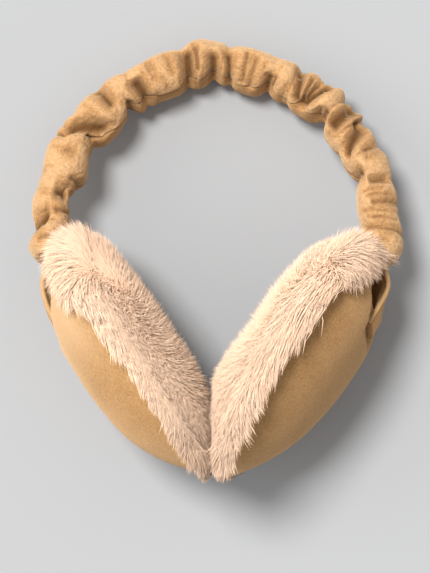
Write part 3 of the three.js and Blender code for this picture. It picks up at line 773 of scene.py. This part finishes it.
# %% The shape of the body under the hairs, with rises and falls in mm and rolls in degrees
PILE_OVERHANG = 2.5 * MM
DOME_RISE = {1: (17.5, 17.3, 12, 11, 10.6, 11), -1: (14.5, 14.1, 11.9, 11, 11, 11.5)}
DOME_FULLNESS, CROWN_FULLNESS = 3.2, 6
RIM_HEIGHT, CROWN_HEIGHT = 1.8 * MM, {1: 2 * MM, -1: 8 * MM}
FACE_SHARE = 0.8
RIM_ROLL = 5.5 * MM
ROLL_ALL_ROUND, ROLL_AT_CROWN, ROLL_AT_TIP = 40, 50, 15
ROLL_ON_TOP = {1: (55, 60, 78, 88, 78, 60), -1: (42, 42, 52, 74, 95, 100)}
FALL_ON_TOP = {1: (6, 6, 7.5, 8, 5, 3), -1: (2.5, 1.5, 2.5, 4.5, 6.5, 7)}


def around_rim(disc, side):
    """For places on the disc: the way out, and how far they face the crown, the lower tip and up."""
    out = np.maximum(np.linalg.norm(disc, axis=-1, keepdims=True), 1e-6)
    away = disc / out
    facing = eased((-side * away[..., 1] + 0.15) / 0.6)
    return out[..., 0], away, np.maximum(0, away[..., 0]), np.maximum(0, -away[..., 0]), facing


def body_points(disc, side):
    """Points of the fur's backing in the pad's frame: a dome over the face, rolled back over the rim."""
    out, away, crown, tip, facing = around_rim(disc, side)
    face = np.clip(out / FACE_SHARE, 0, 1)
    x = (PAD_LENGTH / 2 + PILE_OVERHANG - RIM_ROLL) * away[..., 0] * face
    y = (PAD_WIDTH / 2 + PILE_OVERHANG - RIM_ROLL) * away[..., 1] * face
    raised = CROWN_HEIGHT[side] * crown ** 2
    rise = np.interp(disc[..., 0], ALONG_PAD, DOME_RISE[side]) * MM
    z = RIM_HEIGHT + raised + (rise - raised) * (1 - face ** (DOME_FULLNESS + CROWN_FULLNESS * crown))
    on_top = np.interp(disc[..., 0], ALONG_PAD, ROLL_ON_TOP[side])
    roll = ROLL_ALL_ROUND + on_top * facing * (1 - 0.6 * tip)
    roll = roll + ROLL_AT_CROWN * crown ** 2 + ROLL_AT_TIP * tip ** 2
    roll = np.radians(roll) * np.clip((out - FACE_SHARE) / (1 - FACE_SHARE), 0, 1)
    turned = RIM_ROLL * np.sin(roll)
    z = z - RIM_ROLL * (1 - np.cos(roll))
    return np.stack((x + away[..., 0] * turned, y + away[..., 1] * turned, z), -1)


print("the fur's backing stands up to", max(DOME_RISE[1]), "and", max(DOME_RISE[-1]), "mm over the rims")

# %% Where the fur is pressed, and where it waves
MEETING, CROSSED, PRESSED = -1.2 * MM, 1.2 * MM, 1.2 * MM
MEETING_WAVES, MEETING_WAVE_SIZE = 2.2 * MM, 10 * MM
FUR_ABOVE_TABLE = 0.2 * MM


def waves(points, seed, size):
    """Smooth seeded waves over some points, about one in size, from -1 to 1."""
    dice = np.random.default_rng(seed)
    total = np.zeros(points.shape[:-1])
    for _ in range(6):
        way = dice.normal(size=points.shape[-1])
        total += np.sin(points @ (way / np.linalg.norm(way)) * 2 * np.pi / (size * dice.uniform(0.7, 1.6))
                        + dice.uniform(0, 2 * np.pi))
    return total / 6


def kept_clear(points, side):
    """Fur in the row frame, pressed by the table below and by the other pad in the middle."""
    points = points.copy()
    points[..., 2] = np.maximum(points[..., 2], FUR_ABOVE_TABLE)
    middle = MEETING - side * CROSSED + MEETING_WAVES * waves(points[..., 1:], 3, MEETING_WAVE_SIZE)
    gap = side * (points[..., 0] - middle)
    pressed = 0.1 * MM + PRESSED * np.log1p(np.exp(np.clip(gap / PRESSED, -30, 30)))
    points[..., 0] = middle + side * np.where(gap > 6 * PRESSED, gap, pressed)
    return points


def clear_of_shell(points, lift):
    """Points behind the rim are moved out of the shell, and a little clear of it."""
    out = np.hypot(points[..., 0] / (PAD_LENGTH / 2), points[..., 1] / (PAD_WIDTH / 2))
    behind = np.clip(-points[..., 2] / SHELL_DEPTH, 0, 0.98)
    least = (1 - behind) ** (1 / SHELL_FULLNESS) + lift / (PAD_WIDTH / 2)
    grown = np.where(points[..., 2] < RIM_HEIGHT, np.maximum(1, least / np.maximum(out, 0.05)), 1)
    return points * np.stack((grown, grown, np.ones_like(grown)), -1)


print("the pads meet", round(-MEETING / MM, 1), "mm left of the middle")

# %% The body of each pad
BODY_GRID, BODY_THICKNESS = 64, 0.8 * MM
BODY_LIFT, BODY_WAVES, BODY_WAVE_SIZE = 0.3 * MM, 0.4 * MM, 0.22


def dressed_body(ear, side):
    """The backing of one pad's fur, a little uneven over the face."""
    made = sheet_mesh(BODY_GRID, BODY_GRID)
    disc = on_disc(corners_of(made))
    front = clear_of_shell(body_points(disc, side), BODY_LIFT)
    on_face = np.linalg.norm(disc, axis=1) < FACE_SHARE
    front[:, 2] += BODY_WAVES * waves(disc, 11 + side, BODY_WAVE_SIZE) * on_face
    put(made, kept_clear(moved(pad_frame(side), front), side))
    count = len(disc)
    masks = {"along": np.full(count, 0.5), "own": np.full(count, 0.3), "grey": np.zeros(count)}
    return thickened(finished(made, f"fur_body_{ear}", fur, masks), BODY_THICKNESS)


for ear, side in PADS.items():
    body = dressed_body(ear, side)
    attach(body, "root")
    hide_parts(f"fur_pad_{ear}")
print("fur bodies made")

# %% [markdown]
# ## The hairs
#
# Each hair starts on the body and leans away from the middle of the face, and on the side that faces up it
# also runs down towards the pad's lower tip, as fur does when it has been stroked. Every hair is drawn towards
# the tip of the nearest lock, more so the further along it is. At the rim the hairs fall over the suede, and
# near the crown end they spread over the sleeve. There are two coats, as on an animal: bent guard hairs and
# finer straight ones that fill the gaps between them. Making them one by one with bmesh would take minutes, so
# the corners of a whole coat are worked out at once as arrays and put into one mesh. The light that falls on a
# hair comes through the fur around it as well, which thin spikes can't show, so their shading is bent upwards.

# %% Where the hairs start, and the way the fur lies there
MOVED_UP, ON_FACE = 0.4, 0.4


def scattered(dice, count, side):
    """Seeded places on the disc, closer together on the rim and on the side that faces up."""
    turn = dice.uniform(0, 2 * np.pi, count)
    down = -side * np.sin(turn) < 0
    turn = np.where(down & (dice.uniform(0, 1, count) < MOVED_UP), -turn, turn)
    out = np.where(dice.uniform(0, 1, count) < ON_FACE, FACE_SHARE * np.sqrt(dice.uniform(0, 1, count)),
                   dice.uniform(FACE_SHARE - 0.2, 1, count))
    return np.stack((out * np.cos(turn), out * np.sin(turn)), -1)


def flow_of(roots, dice, side):
    """The way that the fur lies at places on the disc."""
    out, away, crown, _, facing = around_rim(roots, side)
    combed = facing * (1 - eased((crown - 0.4) / 0.5)) * eased((out - 0.3) / 0.6)
    tangled = 0.9 * eased((-0.4 - roots[:, 0]) / 0.4) * waves(roots, 27 + side, 0.16)
    swirl = 0.4 * waves(roots, 23 + side, 0.5) + tangled + dice.normal(0, 0.3, len(roots))
    aside = np.stack((-away[:, 1], away[:, 0]), -1)
    stroked = np.array((-1.0, 0)) * (1.3 * combed)[:, None]
    flow = away * (1 - 0.35 * combed)[:, None] + stroked + aside * swirl[:, None]
    return unit(flow)


print(f"{MOVED_UP:.0%} of the hairs from the lower side grow on the upper one instead")

# %% How each hair leans, in degrees, and how long it is, in mm
LIE, LIE_OUTWARD, LIE_AT_RIM, LIE_ON_TOP, LIE_LOW, UNEVEN_LIE = 24, 20, 18, 10, 12, 5
ON_FACE_LONG, AT_EDGE_LONG, AT_CROWN_MORE, AT_TIP_MORE, UNDER_TIP_LESS = 10.5, 8, 1.5, 2.5, 6
LOW_FACE_LESS, LOW_EDGE_LESS, UNEVEN_LENGTH = {1: 0, -1: 2.4}, 1.5, 0.8


def hair_paths(roots, dice, side, joints):
    """The joints of hairs from places on the disc, in the pad's own frame, and the ways off the skin."""
    out, _, crown, tip, facing = around_rim(roots, side)
    flow = flow_of(roots, dice, side)
    start = body_points(roots, side)
    step = 0.004
    along = body_points(roots + step * flow, side) - start
    sideways = body_points(roots + step * np.stack((-flow[:, 1], flow[:, 0]), -1), side) - start
    normal = unit(np.cross(along, sideways))
    along = unit(along)
    at_rim = eased((out - 0.5) / 0.4)
    lower = eased((0.3 - roots[:, 0]) / 0.9)
    low = eased((-0.5 - roots[:, 0]) / 0.4)
    lie = LIE + LIE_OUTWARD * eased(out / 0.7) + (LIE_AT_RIM + LIE_ON_TOP * facing) * at_rim
    lie = np.radians(lie + LIE_LOW * low * (1 - 3.5 * tip ** 4) + dice.normal(0, UNEVEN_LIE, len(roots)))
    on_top = np.interp(roots[:, 0], ALONG_PAD, FALL_ON_TOP[side])
    at_edge = AT_EDGE_LONG + on_top * facing + AT_CROWN_MORE * crown
    at_edge = at_edge + AT_TIP_MORE * eased((tip - 0.75) / 0.25) - UNDER_TIP_LESS * tip ** 2 * (1 - facing)
    at_edge = at_edge - LOW_EDGE_LESS * lower
    length = (ON_FACE_LONG - LOW_FACE_LESS[side] * lower) * (1 - at_rim) + at_edge * at_rim
    length = (length + dice.normal(0, UNEVEN_LENGTH, len(roots))) * MM * (1 - 0.15 * low)
    paths = [start - 0.5 * MM * normal]
    for joint in range(1, joints):
        bend = lie * (0.7 + 0.6 * (joint - 0.5) / (joints - 1))
        way = normal * np.cos(bend)[:, None] + along * np.sin(bend)[:, None]
        paths.append(paths[-1] + way * (length / (joints - 1))[:, None])
    return np.stack(paths, 1), normal


# %% Locks, and each coat: how many hairs, their joints, the share of their length and how thick they are
LOCKS = 1500
COATS = {"guard": (18500, 3, 1.0, 0.21 * MM), "under": (46000, 2, 0.84, 0.19 * MM)}
LOCK_PULL, STRAYS, STRAY_PULL = (0.35, 0.8), 0.06, 0.2
UNEVEN, TANGLED = 0.25 * MM, 0.4
OVER_SLEEVE = 0.8 * MM


def clear_of_sleeve(points):
    """Joints in the row frame that would be inside the sleeve's end are moved onto its outside."""
    upright = moved(LAID.inverted(), points)
    degrees = np.degrees(np.arctan2(upright[..., 1] / RING_RISE, upright[..., 0]))
    degrees = np.where(degrees < -90, degrees + 360, degrees)
    inside_end = (degrees > RIGHT_END - 1) & (degrees < LEFT_END + 1)
    middle, outward = ring_at(degrees)
    off = upright - middle
    r, z = np.sum(off * outward, axis=-1), off[..., 2]
    thick, wide = SLEEVE_THICKNESS / 2 + OVER_SLEEVE, SLEEVE_WIDTH / 2 + OVER_SLEEVE
    size = np.sqrt((r / thick) ** 2 + (z / wide) ** 2)
    grown = np.where(inside_end & (size < 1), 1 / np.maximum(size, 0.25), 1)
    return moved(LAID, middle + off * grown[..., None])


def hairs_of(side, seed, count, joints, share):
    """Joints of one coat of hairs in the row frame, how grey each hair is, and its way off the skin."""
    dice = np.random.default_rng(seed)
    roots = scattered(dice, count, side)
    leads = scattered(np.random.default_rng(40 + side), LOCKS, side)
    own, normal = hair_paths(roots, dice, side, joints)
    lead, _ = hair_paths(leads, np.random.default_rng(50 + side), side, joints)
    nearest = np.argmin((leads ** 2).sum(-1) - 2 * roots @ leads.T, axis=1)
    gathered = 0.25 + 0.75 * eased((np.linalg.norm(roots, axis=1) - 0.84) / 0.16)
    pull = (gathered * dice.uniform(*LOCK_PULL, count))[:, None] * np.linspace(0, 1, joints)[None] ** 1.4
    stray = dice.uniform(0, 1, count) < STRAYS
    pull[stray] *= STRAY_PULL
    paths = own + (lead[nearest] - own) * pull[..., None]
    paths = paths[:, :1] + share * (paths - paths[:, :1])
    uneven = dice.normal(0, UNEVEN, (count, joints - 1, 3))
    paths[:, 1:] += uneven * np.linspace(0.6, 1, joints - 1)[None, :, None]
    paths = clear_of_shell(paths, dice.uniform(0.4, 3.0, (count, 1)) * MM)
    loose = clear_of_sleeve(moved(pad_frame(side), paths))
    loose[..., 2] = np.maximum(loose[..., 2], FUR_ABOVE_TABLE)
    tangled = dice.uniform(0, 1, count) < TANGLED * eased((-0.6 - roots[:, 0]) / 0.3)
    paths = np.where(tangled[:, None, None], loose, kept_clear(loose, side))
    low = eased((-0.35 - roots[:, 0]) / 0.45)
    grey = low * (0.6 + 0.4 * waves(roots, 31 + side, 0.3)) * dice.uniform(0.3, 1, count)
    turned = np.array(pad_frame(side).to_3x3())
    return paths, grey, normal @ turned.T


print(sum(coat[0] for coat in COATS.values()), "hairs and", LOCKS, "locks on each pad")

# %% Spikes for hairs
HAIR_ROUNDNESS, HAIR_LIFT = 0.25, 2.2


def spike_faces(rings):
    """The faces of one hair: its root, the sides between its rings, and its tip."""
    faces = [(2, 1, 0)]
    for ring in range(0, 3 * (rings - 1), 3):
        for corner in range(3):
            after = (corner + 1) % 3
            faces.append((ring + corner, ring + after, ring + 3 + after, ring + 3 + corner))
    last = 3 * (rings - 1)
    return faces + [(last + corner, last + (corner + 1) % 3, last + 3) for corner in range(3)]


def spikes(paths, radius, dice):
    """Closed spikes of three sides along some paths: their corners, and the ways out from each middle line."""
    count, joints = paths.shape[:2]
    rings = joints - 1
    way = np.diff(paths, axis=1)
    way = unit(np.concatenate((way, way[:, -1:]), axis=1))
    first = unit(np.cross(way, dice.normal(size=(count, 1, 3))))
    second = np.cross(way, first)
    thick = radius * dice.uniform(0.8, 1.25, (count, 1))
    turns = 2 * np.pi * np.arange(3)[:, None] / 3
    spokes = np.cos(turns) * first[:, :rings, None] + np.sin(turns) * second[:, :rings, None]
    corners = (paths[:, :rings, None] + spokes * thick[..., None, None]).reshape(count, 3 * rings, 3)
    return np.concatenate((corners, paths[:, rings:]), axis=1), spokes


def bent_shading(normal, spokes):
    """The way each corner seems to face: away from the skin and upwards, and a little round each hair."""
    normal = normal + np.array((0, 0, HAIR_LIFT))
    facing = (normal[:, None, None] + HAIR_ROUNDNESS * spokes).reshape(len(normal), -1, 3)
    return unit(np.concatenate((facing, normal[:, None]), axis=1).reshape(-1, 3))


def mesh_of_spikes(name, points, rings):
    """All the spikes of a coat in one mesh, filled from arrays."""
    count, each = points.shape[:2]
    spike = spike_faces(rings)
    sizes = np.array([len(face) for face in spike])
    loops = (np.arange(count)[:, None] * each + np.concatenate(spike)[None]).ravel()
    firsts = np.concatenate(([0], np.cumsum(sizes)[:-1]))
    starts = (np.arange(count)[:, None] * sizes.sum() + firsts[None]).ravel()
    mesh = bpy.data.meshes.new(name)
    mesh.vertices.add(count * each)
    mesh.vertices.foreach_set("co", points.astype(np.float32).ravel())
    mesh.loops.add(len(loops))
    mesh.loops.foreach_set("vertex_index", loops.astype(np.int32))
    mesh.polygons.add(len(starts))
    mesh.polygons.foreach_set("loop_start", starts.astype(np.int32))
    mesh.update(calc_edges=True)
    return mesh


print("a guard hair has", len(spike_faces(2)), "faces")

# %% The coats of both pads


def coat_of_hairs(name, side, seed, makeup):
    """One coat as a piece, with its masks and its bent shading."""
    count, joints, share, radius = makeup
    paths, grey, normal = hairs_of(side, seed, count, joints, share)
    dice = np.random.default_rng(seed + 1)
    points, spokes = spikes(paths, radius, dice)
    each = points.shape[1]
    masks = {"along": np.tile(np.append(np.repeat(np.linspace(0, 1, joints)[:-1], 3), 1.0), count),
             "own": np.repeat(dice.uniform(0, 1, count), each), "grey": np.repeat(grey, each)}
    piece = as_piece(name, mesh_of_spikes(name, points, joints - 1), fur, masks)
    piece.data.normals_split_custom_set_from_vertices(bent_shading(normal, spokes).tolist())
    return piece


for ear, side in PADS.items():
    for number, (coat, makeup) in enumerate(COATS.items()):
        hairs = coat_of_hairs(f"hairs_{coat}_{ear}", side, 100 + 10 * number + side, makeup)
        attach(hairs, "root")
        print(hairs.name, len(hairs.data.polygons), "faces")

# %% [markdown]
# ## The table and the light
#
# The photograph stands on plain pale grey, lit by one big soft lamp up on the left, so the shadows fall to the
# lower right and have wide soft edges. A weaker and wider lamp low on the left lights the sides, and the rest
# of the room adds an even grey light that keeps the shadows from going black.

# %% The table
FLOOR_GREY = (0.353, 0.355, 0.359, 1)

bpy.context.scene.view_settings.view_transform = "Standard"
table = bmesh.new()
bmesh.ops.create_grid(table, x_segments=1, y_segments=1, size=4)
paper = bpy.data.materials.new("table")
paper.use_nodes = True
set_on(paper.node_tree.nodes["Principled BSDF"], Base_Color=FLOOR_GREY, Roughness=0.9, Specular_IOR_Level=0.1)
floor = finished(table, "table", paper, {})
print("table", [round(size, 1) for size in floor.dimensions], "m")

# %% The room's light, and each lamp: its strength, how wide it is in degrees, and the way it shines
ROOM_STRENGTH = 0.61
LAMPS = {"key lamp": (4.15, 17, (0.31, -0.31, -1)), "side lamp": (0.9, 50, (1, -0.15, -0.5))}
for name, (strength, spread_out, way) in LAMPS.items():
    lamp = bpy.data.objects.new(name, bpy.data.lights.new(name, "SUN"))
    lamp.data.angle = math.radians(spread_out)
    lamp.data.energy = strength
    lamp.rotation_euler = Vector(way).to_track_quat("-Z", "Y").to_euler()
    bpy.context.collection.objects.link(lamp)

room = bpy.context.scene.world or bpy.data.worlds.new("room")
bpy.context.scene.world = room
room.use_nodes = True
set_on(room.node_tree.nodes["Background"], Color=(1, 1, 1, 1), Strength=ROOM_STRENGTH)
print("lamps", LAMPS, "room", ROOM_STRENGTH)
